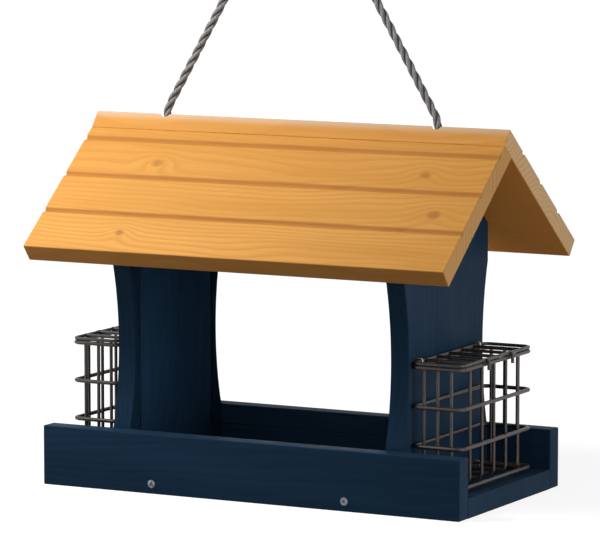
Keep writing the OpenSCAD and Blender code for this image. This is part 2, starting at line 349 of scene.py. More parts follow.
def carve(board, cutters=(), holes=(), width=ROUND_OVER, angle=50):
    """Cuts shapes out of a board, rounds its edges over, and then cuts holes whose rims stay sharp."""
    tools = []

    def cut(shapes):
        for shape in shapes:
            tools.append(piece("cutter", shape))
            step = board.modifiers.new("cut", "BOOLEAN")
            step.object, step.solver = tools[-1], "EXACT"

    cut(cutters)
    ease = board.modifiers.new("round_over", "BEVEL")
    ease.width, ease.segments, ease.limit_method, ease.angle_limit = width, 3, "ANGLE", math.radians(angle)
    cut(holes)
    settle(board)
    for tool in tools:
        bpy.data.objects.remove(tool)
    return smooth(board)


def grow(name, tree, sizes, material, source=None):
    """Runs a geometry tree with these sizes and keeps what it makes as a plain mesh."""
    made = placed(name, source or bpy.data.meshes.new(name))
    sockets = {item.name: item.identifier for item in tree.interface.items_tree if item.in_out == "INPUT"}
    modifier = made.modifiers.new("grow", "NODES")
    modifier.node_group = tree
    for label, value in {**sizes, "Material": material}.items():
        modifier[sockets[label]] = value
    return settle(made)


def fit(obj, body, slot, *nodes):
    """Lets a piece ride on a body and stand for the nodes that it replaces."""
    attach(obj, body)
    if nodes:
        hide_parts(*nodes)
    return obj


def turned(angle, axis):
    return Matrix.Rotation(math.radians(angle), 4, axis)


def at(x, y, z):
    return Matrix.Translation((x, y, z))


def slope(side):
    """The frame of a roof slope: X along the ridge, Y down the slope times side, Z out of it."""
    return at(0, 0, peak_z) @ Matrix.Rotation(-side * ROOF_PITCH, 4, "X")


# Camera
PHOTO_EYE = (1.9002, -3.6154, 0.7059)
PHOTO_PITCH = 7.008
PHOTO_TURN = 27.734
PHOTO_LENS = 260.4
PHOTO_SENSOR = 36


def make_camera():
    data = bpy.data.cameras.new("photo_camera")
    data.lens, data.sensor_width = PHOTO_LENS, PHOTO_SENSOR
    camera = placed("photo_camera", data)
    camera.location = PHOTO_EYE
    camera.rotation_euler = (math.radians(90 - PHOTO_PITCH), 0, math.radians(PHOTO_TURN))
    bpy.context.scene.camera = camera


make_camera()


# Effects that several finishes share
def call(graph, group, feed, out):
    """Places a shared effect in a finish and gives the outputs asked for."""
    made = graph.tree.nodes.new("ShaderNodeGroup")
    made.node_tree = group
    for label, value in feed.items():
        graph.feed(made.inputs[label], value)
    return [made.outputs[label] for label in out]


def wood_figure_effect():
    """Growth rings round a pith, fine fibres and slow changes of tone, with X along the grain."""
    inputs = {"Point": "Vector", "Pith": "Vector", **floats("Ring Pitch", "Wander", "Swell", "Seed")}
    outputs = floats("Rings", "Fibres", "Tone")
    graph, given, result = new_tree("wood_figure", "ShaderNodeTree", inputs, outputs)
    seed = graph.combine(given["Seed"], given["Seed"], 0.0)
    point = graph.vector("ADD", given["Point"], seed)
    drift = graph.noise(point, (2.4, 9.0, 9.0), out="Color")
    drift = graph.scaled(graph.vector("SUBTRACT", drift, (0.5, 0.5, 0.5)), given["Wander"])
    across = graph.vector("ADD", graph.vector("SUBTRACT", given["Point"], given["Pith"]), drift)
    radius = graph.vector("LENGTH", graph.vector("MULTIPLY", across, (0.015, 1.0, 1.0)), out="Value")
    rings = graph.calc("ADD", graph.calc("DIVIDE", radius, given["Ring Pitch"]), given["Swell"])
    uneven = graph.noise(point, (7.0, 60.0, 60.0))
    rings = graph.calc("FRACT", graph.times_plus(uneven, 0.5, rings))
    late = graph.times(graph.fade(rings, 0.3, 0.86), graph.fade(rings, 0.9, 1.0, 1.0, 0.0))
    graph.feed(result["Rings"], late)
    graph.feed(result["Fibres"], graph.noise(point, (16.0, 1300.0, 1300.0), 3.0, 0.6))
    graph.feed(result["Tone"], graph.noise(point, (3.5, 34.0, 34.0)))
    return graph.tree


def knot_effect():
    """A knot's dark core, and how far the rings swell round it."""
    inputs = {"Point": "Vector", "Centre": "Vector", "Size": "Float"}
    graph, given, result = new_tree("knot", "ShaderNodeTree", inputs, floats("Core", "Swell"))
    away = graph.vector("SUBTRACT", given["Point"], given["Centre"])
    away = graph.vector("MULTIPLY", away, (0.75, 1.0, 0.6))
    ragged = graph.noise(given["Point"], 160.0)
    away = graph.calc("DIVIDE", graph.vector("LENGTH", away, out="Value"), given["Size"])
    away = graph.times_plus(ragged, 0.5, away)
    graph.feed(result["Core"], graph.fade(away, 0.55, 1.3, 1.0, 0.0))
    spread = graph.times(graph.times(away, away), -0.16)
    graph.feed(result["Swell"], graph.times(graph.calc("EXPONENT", spread), 1.9))
    return graph.tree


def edge_wear_effect():
    """Where handling rubs a finish thin: broken patches on edges that are rounded over."""
    inputs = {"Point": "Vector", "Normal": "Vector", "Amount": "Float", "Seed": "Float"}
    graph, given, result = new_tree("edge_wear", "ShaderNodeTree", inputs, {"Worn": "Float"})
    x, y, z = graph.split(graph.vector("ABSOLUTE", given["Normal"]))
    flat = graph.calc("MAXIMUM", x, graph.calc("MAXIMUM", y, z))
    edge = graph.fade(flat, 0.72, 0.93, 1.0, 0.0)
    point = graph.vector("ADD", given["Point"], graph.combine(given["Seed"]))
    patches = graph.noise(point, 90.0, 4.0, 0.65)
    broken = graph.fade(graph.calc("ADD", patches, given["Amount"]), 0.58, 0.74)
    graph.feed(result["Worn"], graph.times(edge, broken))
    return graph.tree


def smudge_effect():
    """Faint marks and dust that change how a finish shines."""
    inputs = {"Point": "Vector", "Size": "Float", "Seed": "Float"}
    graph, given, result = new_tree("smudges", "ShaderNodeTree", inputs, {"Smudge": "Float"})
    point = graph.vector("ADD", given["Point"], graph.combine(given["Seed"], given["Seed"]))
    point = graph.vector("DIVIDE", point, graph.combine(given["Size"], given["Size"], given["Size"]))
    graph.feed(result["Smudge"], graph.noise(point, 1.0, 5.0, 0.6, 0.4))
    return graph.tree


WOOD_FIGURE = wood_figure_effect()
KNOT = knot_effect()
EDGE_WEAR = edge_wear_effect()
SMUDGES = smudge_effect()


# Finishes
NAVY = (0.012, 0.036, 0.072, 1)
NAVY_THIN = (0.045, 0.068, 0.10, 1)
GOLD = (0.83, 0.41, 0.10, 1)
DEEP_GOLD = (0.71, 0.33, 0.07, 1)
RIDGE_GOLD = (0.60, 0.25, 0.05, 1)
# Painted warm shade for the roof boards' underside
UNDERSIDE_SHADE_GOLD = (0.92, 0.34, 0.06, 1)
LATE_WOOD = (0.47, 0.17, 0.03, 1)
DARK_FIBRE = (0.62, 0.26, 0.045, 1)
KNOT_CORE = (0.33, 0.13, 0.03, 1)
# Stain lying in the roof's grooves together with painted shade there
GROOVE_STAIN_AND_SHADE = (0.38, 0.145, 0.028, 1)
# Painted shade for the eave's face, which looks down
EAVE_SHADE = (0.40, 0.15, 0.04, 1)
RAW_EDGE = (0.72, 0.53, 0.37, 1)
FRONT_END_GRAIN = (0.63, 0.34, 0.125, 1)
BACK_END_GRAIN = (0.76, 0.49, 0.25, 1)
SHEET_TINT = (0.985, 0.99, 0.992, 1)
SHEET_GLARE = (0.04, 0.04, 0.04, 1)
SHEET_SHADOW = (0.93, 0.95, 0.955, 1)
WIRE_COAT = (0.032, 0.024, 0.022, 1)
DUSTY_COAT = (0.066, 0.052, 0.046, 1)
ROPE_GREY = (0.30, 0.30, 0.305, 1)
ROPE_PALE = (0.43, 0.43, 0.435, 1)
# Painted shade between the yarns, and painted shade with dirt between the strands
YARN_GAP_SHADE = (0.17, 0.17, 0.175, 1)
STRAND_GAP_SHADE_AND_DIRT = (0.06, 0.06, 0.063, 1)
YARNS = 36.0

# Far below the 1.49 of real acrylic, so that the sheets show little glare and no speckle
SHEET_INDEX = 1.03


def new_finish(name, **fixed):
    """A material with its plain numbers set on the shader's own sockets."""
    material = bpy.data.materials.new(name)
    material.use_nodes = True
    shader = material.node_tree.nodes["Principled BSDF"]
    for label, value in fixed.items():
        shader.inputs[label.replace("_", " ")].default_value = value
    return material, Graph(material.node_tree), shader.inputs


def own_point(graph, place=(0.0, 0.0, 0.0), turn=(0.0, 0.0, 0.0)):
    """Object coordinates, turned into a board's own frame where one is given."""
    point = graph.add("ShaderNodeTexCoord", out="Object")
    put = {"Location": place, "Rotation": turn}
    return graph.add("ShaderNodeMapping", point, vector_type="TEXTURE", put=put)


def own_normal(graph):
    return graph.add("ShaderNodeTexCoord", out="Normal")


def smudges(graph, point, size, seed):
    return call(graph, SMUDGES, {"Point": point, "Size": size, "Seed": seed}, ("Smudge",))[0]


def bump(graph, height, depth, strength=1.0):
    return graph.add("ShaderNodeBump", put={"Height": height, "Distance": depth, "Strength": strength})


def painted_pine(name, paint, thin, turn, seed, pith=(0.0, 0.02, -0.07)):
    """Satin paint on pine, flat on faces that look inwards: the grain tells through and arrises rub thin."""
    material, graph, shader = new_finish(name)
    point = own_point(graph, turn=turn)
    feed = {"Point": point, "Pith": pith, "Ring Pitch": 4.6 * MM, "Wander": 0.05, "Seed": seed}
    rings, fibres, tone = call(graph, WOOD_FIGURE, feed, ("Rings", "Fibres", "Tone"))
    feed = {"Point": point, "Normal": own_normal(graph), "Amount": 0.0, "Seed": seed}
    worn, = call(graph, EDGE_WEAR, feed, ("Worn",))
    smudge = smudges(graph, point, 55 * MM, seed)
    colour = graph.mix(graph.fade(tone, 0.3, 0.7), paint, tuple(0.8 * c for c in paint[:3]) + (1.0,))
    colour = graph.mix(graph.times(rings, 0.07), colour, thin)
    colour = graph.mix(graph.times(worn, 0.45), colour, thin)
    graph.feed(shader["Base Color"], colour)
    inwards = graph.times(graph.split(own_point(graph))[0], graph.split(own_normal(graph))[0])
    inwards = graph.fade(inwards, -0.06, 0.0, 1.0, 0.0)
    graph.feed(shader["Specular IOR Level"], graph.times_plus(inwards, -0.03, 0.03))
    rough = graph.times_plus(smudge, 0.22, 0.42)
    rough = graph.times_plus(inwards, 0.3, rough)
    graph.feed(shader["Roughness"], graph.times_plus(worn, 0.15, rough))
    height = graph.times_plus(rings, -0.5, graph.times(fibres, 0.55))
    graph.feed(shader["Normal"], bump(graph, height, 0.16 * MM, 0.8))
    return material


def roof_wood(name, side, seed, pith, end_grain, knots):
    """Golden stained boards, darker towards the ridge, with stain and painted shade in the grooves, painted
    shade on the eave's face and a painted warm tint on the underside.
    The end grain and the edge of the ridge are raw and paler."""
    material, graph, shader = new_finish(name, Specular_IOR_Level=0.1)
    point = own_point(graph, (0.0, 0.0, peak_z), (-side * ROOF_PITCH, 0.0, 0.0))
    _, y, z = graph.split(point)
    swell, core = 0.0, 0.0
    for centre_x, down, size in knots:
        feed = {"Point": point, "Centre": (centre_x, side * down, BOARD_T), "Size": size}
        one_core, one_swell = call(graph, KNOT, feed, ("Core", "Swell"))
        swell = graph.calc("ADD", swell, one_swell)
        core = graph.calc("MAXIMUM", core, one_core)
    feed = {"Point": point, "Pith": pith, "Ring Pitch": 5.5 * MM, "Wander": 0.07, "Swell": swell,
            "Seed": seed}
    rings, fibres, tone = call(graph, WOOD_FIGURE, feed, ("Rings", "Fibres", "Tone"))
    gold = graph.mix(graph.fade(tone, 0.3, 0.72), GOLD, DEEP_GOLD)
    rings = graph.times(rings, graph.fade(tone, 0.62, 0.36, 0.45, 1.0))
    gold = graph.mix(graph.times(rings, 0.3), gold, LATE_WOOD)
    gold = graph.mix(graph.times(graph.fade(fibres, 0.35, 0.7), 0.3), gold, DARK_FIBRE)
    gold = graph.mix(graph.times(core, 0.6), gold, KNOT_CORE)
    down = graph.times(y, side)
    # Darker in the grooves near the top face: stain lying in them and painted shade
    step = graph.calc("DIVIDE", graph.calc("SUBTRACT", SLOPE_L, down), GROOVE_PITCH)
    away = graph.times(graph.calc("PINGPONG", step, 0.5), GROOVE_PITCH)
    stain_and_shade = graph.fade(away, 0.25 * GROOVE_W, 0.62 * GROOVE_W, 1.0, 0.0)
    for low, high, value in ((0.4, 0.5, step), (GROOVES + 0.6, GROOVES + 0.5, step),
                             (BOARD_T - 2 * GROOVE_D, BOARD_T - 1.2 * GROOVE_D, z)):
        stain_and_shade = graph.times(stain_and_shade, graph.fade(value, low, high))
    gold = graph.mix(graph.times(stain_and_shade, 0.62), gold, GROOVE_STAIN_AND_SHADE)
    late_end = (0.68 * end_grain[0], 0.6 * end_grain[1], 0.5 * end_grain[2], 1)
    raw = graph.mix(graph.times(rings, 0.45), end_grain, late_end)
    gold = graph.mix(graph.fade(down, SLOPE_L, 0.0, 0.0, 0.3), gold, RIDGE_GOLD)
    # The eave's face, which looks down, is painted darker: painted shade
    eave_shade = graph.fade(down, SLOPE_L - MM, SLOPE_L - 0.2 * MM, 0.0, 0.5)
    gold = graph.mix(eave_shade, gold, EAVE_SHADE)
    # The underside is painted a warmer, redder gold: painted warm shade, as it looks in the shade below the
    # roof
    gold = graph.mix(graph.fade(z, 0.0, 0.4 * MM, 0.75, 0.0), gold, UNDERSIDE_SHADE_GOLD)
    normal_x = graph.calc("ABSOLUTE", graph.split(own_normal(graph))[0])
    gold = graph.mix(graph.fade(normal_x, 0.55, 0.9), gold, raw)
    ridge_edge = graph.fade(down, 0.8 * MM - lap_l, 0.2 * MM - lap_l)
    ridge_edge = graph.times(ridge_edge, graph.fade(z, 0.45 * BOARD_T, BOARD_T, 0.0, 0.75))
    graph.feed(shader["Base Color"], graph.mix(ridge_edge, gold, RAW_EDGE))
    graph.feed(shader["Roughness"], graph.times_plus(fibres, 0.2, 0.5))
    height = graph.times_plus(rings, -0.45, graph.times(fibres, 0.7))
    graph.feed(shader["Normal"], bump(graph, height, 0.22 * MM))
    return material


def clear_acrylic():
    """Clear sheet that lets the lamps through to the seed space."""
    material, graph, shader = new_finish(
        "window_acrylic", Transmission_Weight=1.0, IOR=SHEET_INDEX, Base_Color=SHEET_TINT,
        Specular_Tint=SHEET_GLARE)
    smudge = smudges(graph, own_point(graph), 40 * MM, 4.0)
    graph.feed(shader["Roughness"], graph.fade(smudge, 0.55, 0.85, 0.015, 0.09))
    open_way = graph.add("ShaderNodeBsdfTransparent", SHEET_SHADOW)
    sheet = shader["Base Color"].node.outputs[0]
    shadow = graph.add("ShaderNodeLightPath", out="Is Shadow Ray")
    both = graph.add("ShaderNodeMixShader", shadow, sheet, open_way)
    graph.feed(graph.tree.nodes["Material Output"].inputs["Surface"], both)
    return material


def coated_wire():
    """Dark brown vinyl coat on wire, a little dusty."""
    material, graph, shader = new_finish("cage_wire", Specular_IOR_Level=0.4)
    point = own_point(graph)
    smudge = smudges(graph, point, 9 * MM, 2.0)
    colour = graph.mix(graph.fade(smudge, 0.35, 0.7), WIRE_COAT, DUSTY_COAT)
    graph.feed(shader["Base Color"], colour)
    graph.feed(shader["Roughness"], graph.times_plus(smudge, 0.3, 0.25))
    lumps = graph.noise(point, 420.0)
    graph.feed(shader["Normal"], bump(graph, lumps, 0.12 * MM))
    return material


def plated_metal(name, bright, dull, rough, seed):
    """Plated or bare metal, dulled in patches by the weather."""
    material, graph, shader = new_finish(name, Metallic=1.0)
    point = own_point(graph)
    smudge = smudges(graph, point, 3 * MM, seed)
    graph.feed(shader["Base Color"], graph.mix(graph.fade(smudge, 0.35, 0.65), bright, dull))
    graph.feed(shader["Roughness"], graph.times_plus(smudge, 0.3, rough))
    grit = graph.noise(point, 900.0)
    graph.feed(shader["Normal"], bump(graph, grit, 0.03 * MM))
    return material


def rope_fibre():
    """Twisted grey strands whose fine yarns run along the rope, with painted shade between the yarns, and
    painted shade and dirt down between the strands.
    """
    material, graph, shader = new_finish("rope_cord", Specular_IOR_Level=0.3)
    along = graph.add("ShaderNodeAttribute", out="Fac", attribute_name="along")
    crown = graph.add("ShaderNodeAttribute", out="Fac", attribute_name="crown")
    around = graph.split(graph.add("ShaderNodeAttribute", out="Vector", attribute_name="around"))
    angle = graph.calc("ARCTAN2", around[1], around[0])
    angle = graph.times_plus(along, 2 * math.pi / ROPE_LAY, angle)
    speck = graph.noise(own_point(graph), (700.0, 700.0, 260.0), 3.0, 0.6)
    yarn = graph.calc("SINE", graph.times_plus(speck, 2.5, graph.times(angle, YARNS)))
    yarn = graph.times_plus(yarn, 0.5, 0.5)
    colour = graph.mix(graph.fade(speck, 0.3, 0.7), ROPE_GREY, ROPE_PALE)
    # Darker between the yarns: painted shade
    colour = graph.mix(graph.times(graph.fade(yarn, 0.5, 0.0), 0.3), colour, YARN_GAP_SHADE)
    # Darker down between the strands: painted shade and dirt
    colour = graph.mix(graph.fade(crown, 0.9, 0.62), colour, STRAND_GAP_SHADE_AND_DIRT)
    graph.feed(shader["Base Color"], colour)
    graph.feed(shader["Roughness"], graph.times_plus(speck, 0.25, 0.55))
    graph.feed(shader["Normal"], bump(graph, yarn, 0.25 * MM))
    return material


ALONG_X = (0.0, 0.0, 0.0)
ALONG_Z = (0.0, -math.pi / 2, 0.0)
tray_paint = painted_pine("tray_paint", NAVY, NAVY_THIN, ALONG_X, 3.1)
wall_paint = painted_pine("wall_paint", NAVY, NAVY_THIN, ALONG_Z, 7.7)
front_wood = roof_wood("roof_wood_front", -1, 1.3, (0.0, 0.045, -0.05), FRONT_END_GRAIN,
                       [(-0.127, 0.05, 6 * MM), (-0.126, 0.144, 5 * MM), (0.155, 0.047, 6 * MM),
                        (0.183, 0.098, 7 * MM)])
back_wood = roof_wood("roof_wood_back", 1, 5.9, (0.0, 0.12, -0.06), BACK_END_GRAIN,
                      [(0.06, 0.07, 6 * MM), (-0.12, 0.12, 5 * MM)])
window_acrylic = clear_acrylic()
cage_wire = coated_wire()
staple_steel = plated_metal("staple_steel", (0.5, 0.5, 0.51, 1), (0.3, 0.3, 0.31, 1), 0.3, 1.0)
screw_steel = plated_metal("screw_steel", (0.24, 0.26, 0.285, 1), (0.12, 0.13, 0.15, 1), 0.4, 2.0)
stop_aluminium = plated_metal("stop_aluminium", (0.66, 0.66, 0.67, 1), (0.45, 0.45, 0.46, 1), 0.3, 3.0)
ring_steel = plated_metal("ring_steel", (0.52, 0.52, 0.53, 1), (0.33, 0.33, 0.35, 1), 0.25, 4.0)
rope_cord = rope_fibre()


# Hanging rope
def smooth_line(points, step):
    """Points about step apart on a smooth curve through a route's points."""
    line = []
    for i in range(len(points) - 1):
        a, b = points[max(i - 1, 0)], points[min(i + 2, len(points) - 1)]
        start, end = points[i], points[i + 1]
        count = max(1, round((end - start).length / step))
        for k in range(count):
            t = k / count
            bend = (end - a) * (t - 2 * t * t + t ** 3) + (b - start) * (t ** 3 - t * t)
            line.append(start + (end - start) * (3 * t * t - 2 * t ** 3) + bend / 2)
    return line + [points[-1]]


def swept(graph, line, profile):
    """A profile drawn along a line, with smooth sides and closed ends."""
    put = {"Curve": line, "Profile Curve": profile, "Fill Caps": True}
    return graph.add("GeometryNodeSetShadeSmooth", graph.add("GeometryNodeCurveToMesh", put=put))


def note(graph, geometry, name, value, sort="FLOAT"):
    """Writes a value on a form's points, which a finish reads by name."""
    put = {"Geometry": geometry, "Name": name, "Value": value}
    return graph.add("GeometryNodeStoreNamedAttribute", put=put, data_type=sort)


def twisted_rope_tree():
    """Sweeps three touching strands along a line of points and twists them."""
    inputs = {"Geometry": "Geometry", **floats("Rope Diameter", "Lay", "Strand Share"), "Sides": "Int"}
    graph, given, result = geometry_tree("twisted_rope", inputs)
    line = graph.add("GeometryNodeMeshToCurve", given["Geometry"])
    length = graph.add("GeometryNodeSplineParameter", out="Length")
    line = note(graph, line, "along", length)
    twist = graph.times(graph.calc("DIVIDE", length, given["Lay"]), 2 * math.pi)
    line = graph.add("GeometryNodeSetCurveTilt", put={"Curve": line, "Tilt": twist})
    strand = graph.times(given["Rope Diameter"], given["Strand Share"])
    reach = graph.calc("SUBTRACT", graph.times(given["Rope Diameter"], 0.5), strand)
    circle = graph.add("GeometryNodeCurvePrimitiveCircle", put={"Resolution": given["Sides"], "Radius": 1.0})
    place = graph.add("GeometryNodeInputPosition")
    x, y, _ = graph.split(place)
    third = 2 * math.pi / 3
    turn = graph.calc("WRAP", graph.calc("ARCTAN2", y, x), third / 2, -third / 2)
    beside = graph.times(reach, graph.calc("SINE", turn))
    inner = graph.calc("SUBTRACT", graph.times(strand, strand), graph.times(beside, beside))
    radius = graph.times_plus(reach, graph.calc("COSINE", turn), graph.calc("SQRT", inner))
    crown = graph.calc("DIVIDE", radius, graph.times(given["Rope Diameter"], 0.5))
    circle = note(graph, circle, "crown", crown)
    circle = note(graph, circle, "around", place, "FLOAT_VECTOR")
    put = {"Geometry": circle, "Position": graph.scaled(place, radius)}
    circle = graph.add("GeometryNodeSetPosition", put=put)
    return end_tree(graph, given, result, swept(graph, line, circle))


TWISTED_ROPE = twisted_rope_tree()
ROPE_SIDES = 42
ROPE_STEP = 1.2 * MM
STRAND_SHARE = 0.265


def twisted_rope(name, line):
    source = bpy.data.meshes.new(name)
    source.from_pydata(line, [(i, i + 1) for i in range(len(line) - 1)], [])
    sizes = {"Rope Diameter": ROPE_D, "Lay": ROPE_LAY, "Strand Share": STRAND_SHARE, "Sides": ROPE_SIDES}
    rope = grow(name, TWISTED_ROPE, sizes, rope_cord, source)
    return rope


def make_ropes():
    """The rope over the ring, and its two ends down to the stops in the walls."""
    line = smooth_line(rope_route, ROPE_STEP)
    rope = twisted_rope("hanging_rope_strands", line)
    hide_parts("hanging_rope")
    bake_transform(rope)
    fall = ROPE_START_Z - ROPE_END_Z
    count = round(fall / ROPE_STEP)
    for side, word in ((-1, "left"), (1, "right")):
        drop = [(side * wall_mid, 0, ROPE_END_Z + fall * i / count) for i in range(count + 1)]
        end = twisted_rope(word + "_rope_end_strands", drop)
        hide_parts(word + "_rope_end")
        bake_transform(end)
    return rope, line


hanging_rope, rope_line = make_ropes()


def make_ring():
    """The welded ring that the rope runs through."""
    weld_swell, weld_angle, steps = 0.015, math.radians(12), 144
    centre = Vector((0, 0, sum(c.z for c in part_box("hanging_ring")) / 2))
    points, faces, around = [], [], 20
    for i in range(steps):
        turn = 2 * math.pi * i / steps
        off = min(turn, 2 * math.pi - turn) / weld_angle
        wire = RING_D / 2 * (1 - weld_swell + weld_swell * math.exp(-off * off))
        for k in range(around):
            angle = 2 * math.pi * k / around
            reach = RING_R + wire * math.cos(angle)
            off_centre = (wire * math.sin(angle), reach * math.sin(turn), reach * math.cos(turn))
            points.append(centre + Vector(off_centre))
            a, b = (i + 1) % steps * around, (k + 1) % around
            faces.append([i * around + k, i * around + b, a + b, a + k])
    ring = piece("hanging_ring_wire", Shape(points, faces), ring_steel)
    ring.data.shade_smooth()
    return fit(ring, "root", "ring_steel", "hanging_ring")


hanging_ring = make_ring()


# Screws
def screw_holes(frames, over=MM):
    """The countersunk holes of screws whose heads lie at their frames' origins with Z up."""
    head, shank = HEAD_D / 2 + HOLE_GAP, SCREW_D / 2 + HOLE_GAP
    low = -2 * HEAD_H
    profile = [(0, over), (head, over), (head, -HOLE_GAP)]
    profile += [(shank, -HEAD_H - HOLE_GAP), (shank, low), (0, low)]
    return sum([lathe(profile, 32).moved(frame) for frame in frames], Shape())


def screw_model():
    """A countersunk wood screw, its head up at the origin, with a cross recess and a thread."""
    core, ridge, pitch, sunk = 1.45 * MM, SCREW_D / 2, 1.8 * MM, 0.15 * MM
    head = HEAD_D / 2 - 0.05 * MM
    profile = [(0, -sunk), (head - 0.3 * MM, -sunk), (head, -sunk - 0.2 * MM)]
    profile += [(ridge, -HEAD_H), (core, -HEAD_H - MM)]
    height = -HEAD_H - 2 * MM
    while height > -SCREW_L + 5 * MM:
        profile += [(core, height), (ridge, height - 0.4 * pitch), (core, height - 0.8 * pitch)]
        height -= pitch
    profile += [(0.7 * core, -SCREW_L + 3 * MM), (0, -SCREW_L)]
    screw = piece("screw_model", lathe(profile, 28))
    arm, width, depth = 2.5 * MM, 0.55 * MM, 1.5 * MM
    for long, wide in ((arm, width), (width, arm)):
        wedge = [(-long, -wide, 0), (long, -wide, 0), (long, wide, 0), (-long, wide, 0)]
        foot = [(0.45 * x, 0.45 * y, -depth) for x, y, _ in wedge]
        sides = [[i, (i + 1) % 4, 4 + (i + 1) % 4, 4 + i] for i in range(4)]
        tool = piece("recess", Shape(wedge + foot, sides + [range(4), range(4, 8)]))
        cut = screw.modifiers.new("cut", "BOOLEAN")
        cut.object, cut.solver = tool, "EXACT"
        settle(screw)
        bpy.data.objects.remove(tool)
    screw.data.shade_smooth()
    screw.data.set_sharp_from_angle(angle=math.radians(35))
    return screw


def screw_set_tree():
    """Puts a screw on each point, along the point's aim, each turned by its own chance angle."""
    inputs = {"Geometry": "Geometry", "Screw": "Object", "Seed": "Int"}
    graph, given, result = geometry_tree("screw_set", inputs)
    screw = graph.add("GeometryNodeObjectInfo", given["Screw"], out="Geometry")
    aim = graph.add("GeometryNodeInputNamedAttribute", "aim", data_type="FLOAT_VECTOR")
    stand = graph.add("FunctionNodeAlignRotationToVector", put={"Vector": aim}, axis="Z")
    points = graph.add("GeometryNodeInstanceOnPoints",
                       put={"Points": given["Geometry"], "Instance": screw, "Rotation": stand})
    roll = graph.add("FunctionNodeRandomValue", put={2: 0.0, 3: math.pi, "Seed": given["Seed"]}, out=1)
    roll = graph.combine(0.0, 0.0, roll)
    points = graph.add("GeometryNodeRotateInstances", put={"Instances": points, "Rotation": roll})
    return end_tree(graph, given, result, points)


rail_screw_frames = [at(x, side * (rail_t + floor_half), floor_t / 2) @ turned(side * -90, "X")
                     for side in (-1, 1) for x in (-RAIL_SCREW_X, RAIL_SCREW_X)]
wall_screw_frames = [at(side * wall_mid, y, 0) @ turned(180, "X")
                     for side in (-1, 1) for y in (-WALL_SCREW_Y, WALL_SCREW_Y)]
ridge_screw_frames = [slope(1) @ at((i - (RIDGE_SCREWS - 1) / 2) * RIDGE_SCREW_PITCH, -lap_l / 2, BOARD_T)
                      for i in range(RIDGE_SCREWS)]


def make_screws():
    tree, model = screw_set_tree(), screw_model()
    sets = (("rail_screws", rail_screw_frames, "root"), ("wall_screws", wall_screw_frames, "root"),
            ("ridge_screws", ridge_screw_frames, "roof"))
    for seed, (node, frames, body) in enumerate(sets):
        source = bpy.data.meshes.new(node)
        source.from_pydata([f.translation for f in frames], [], [])
        aim = source.attributes.new("aim", "FLOAT_VECTOR", "POINT")
        for i, f in enumerate(frames):
            aim.data[i].vector = f.col[2].to_3d()
        made = grow(node + "_driven", tree, {"Screw": model, "Seed": seed}, screw_steel, source)
        fit(made, body, "screw_steel", node)
    bpy.data.objects.remove(model)


make_screws()


# Tray
def make_tray():
    for side, node in ((-1, "front_rail"), (1, "back_rail")):
        low, high = sorted((side * floor_half, side * (floor_half + rail_t)))
        rail = piece(node + "_board", block((tray_left, low, 0), (tray_right, high, rail_h)), tray_paint)
        frames = [f for f in rail_screw_frames if f.translation.y * side > 0]
        carve(rail, holes=[screw_holes(frames)])
        fit(rail, "root", "tray_paint", node)
    floor = block((tray_left, -floor_half, 0), (tray_right, floor_half, floor_t))
    floor = piece("floor_board_board", floor, tray_paint)
    carve(floor, holes=[screw_holes(wall_screw_frames)], width=FLOOR_ROUND_OVER)
    fit(floor, "root", "tray_paint", "floor_board")


make_tray()


# End walls
WAIST_STEPS = 28


def wall_outline():
    """The end view of an end wall, up its back edge to the peak and down its front edge."""
    sag, reach = floor_half - WAIST_W / 2, (WAIST_TOP - rail_h) / 2
    radius = (reach * reach + sag * sag) / (2 * sag)
    centre_y, centre_z, half_turn = floor_half - sag + radius, rail_h + reach, math.asin(reach / radius)
    waist = []
    for i in range(WAIST_STEPS + 1):
        angle = math.pi + half_turn * (1 - 2 * i / WAIST_STEPS)
        waist.append((centre_y + radius * math.cos(angle), centre_z + radius * math.sin(angle)))
    shoulder_z = gable_z - floor_half * math.tan(ROOF_PITCH)
    back = [(floor_half, floor_t), *waist, (floor_half, shoulder_z), (0, gable_z)]
    return back + [(-y, z) for y, z in back[-2::-1]]


def make_walls():
    for side, node in ((-1, "left_end_wall"), (1, "right_end_wall")):
        near, far = sorted((side * wall_in, side * wall_out))
        wall = piece(node + "_board", prism(wall_outline(), near, far), wall_paint)
        grooves = Shape()
        for face in (-1, 1):
            start, end = sorted((side * (wall_in - MM), side * (wall_in + PANE_BITE)))
            y = face * PANE_Y
            grooves += block((start, y - PANE_GROOVE / 2, pane_foot), (end, y + PANE_GROOVE / 2, peak_z))
        middle = at(side * wall_mid, 0, STOP_Z)
        bore = drill(ROPE_BORE, 0, peak_z - STOP_Z, 32).moved(middle)
        pocket = drill(POCKET_D, -rail_t, rail_t, 40).moved(middle @ turned(90, "Y"))
        carve(wall, [grooves, pocket], [bore], WALL_ROUND_OVER)
        fit(wall, "root", "wall_paint", node)


make_walls()


# Roof
def spots(graph, count, start, step=None):
    """Points in an even row."""
    return graph.add("GeometryNodeMeshLine", put={"Count": count, "Start Location": start, "Offset": step})


def row(graph, one, count, start, step):
    """Copies of a piece in an even row."""
    put = {"Points": spots(graph, count, start, step), "Instance": one}
    return graph.add("GeometryNodeRealizeInstances", graph.add("GeometryNodeInstanceOnPoints", put=put))


def groove_tree():
    """Cuts a row of equal grooves out of a board."""
    inputs = {"Geometry": "Geometry", "Cutter": "Object", "Grooves": "Int", "First Groove": "Vector",
              "Groove Step": "Vector"}
    graph, given, result = geometry_tree("groove_row", inputs)
    cutter = graph.add("GeometryNodeObjectInfo", given["Cutter"], out="Geometry")
    cutters = row(graph, cutter, given["Grooves"], given["First Groove"], given["Groove Step"])
    board = graph.add("GeometryNodeMeshBoolean", given["Geometry"], cutters, operation="DIFFERENCE",
                      solver="EXACT")
    return end_tree(graph, given, result, board)


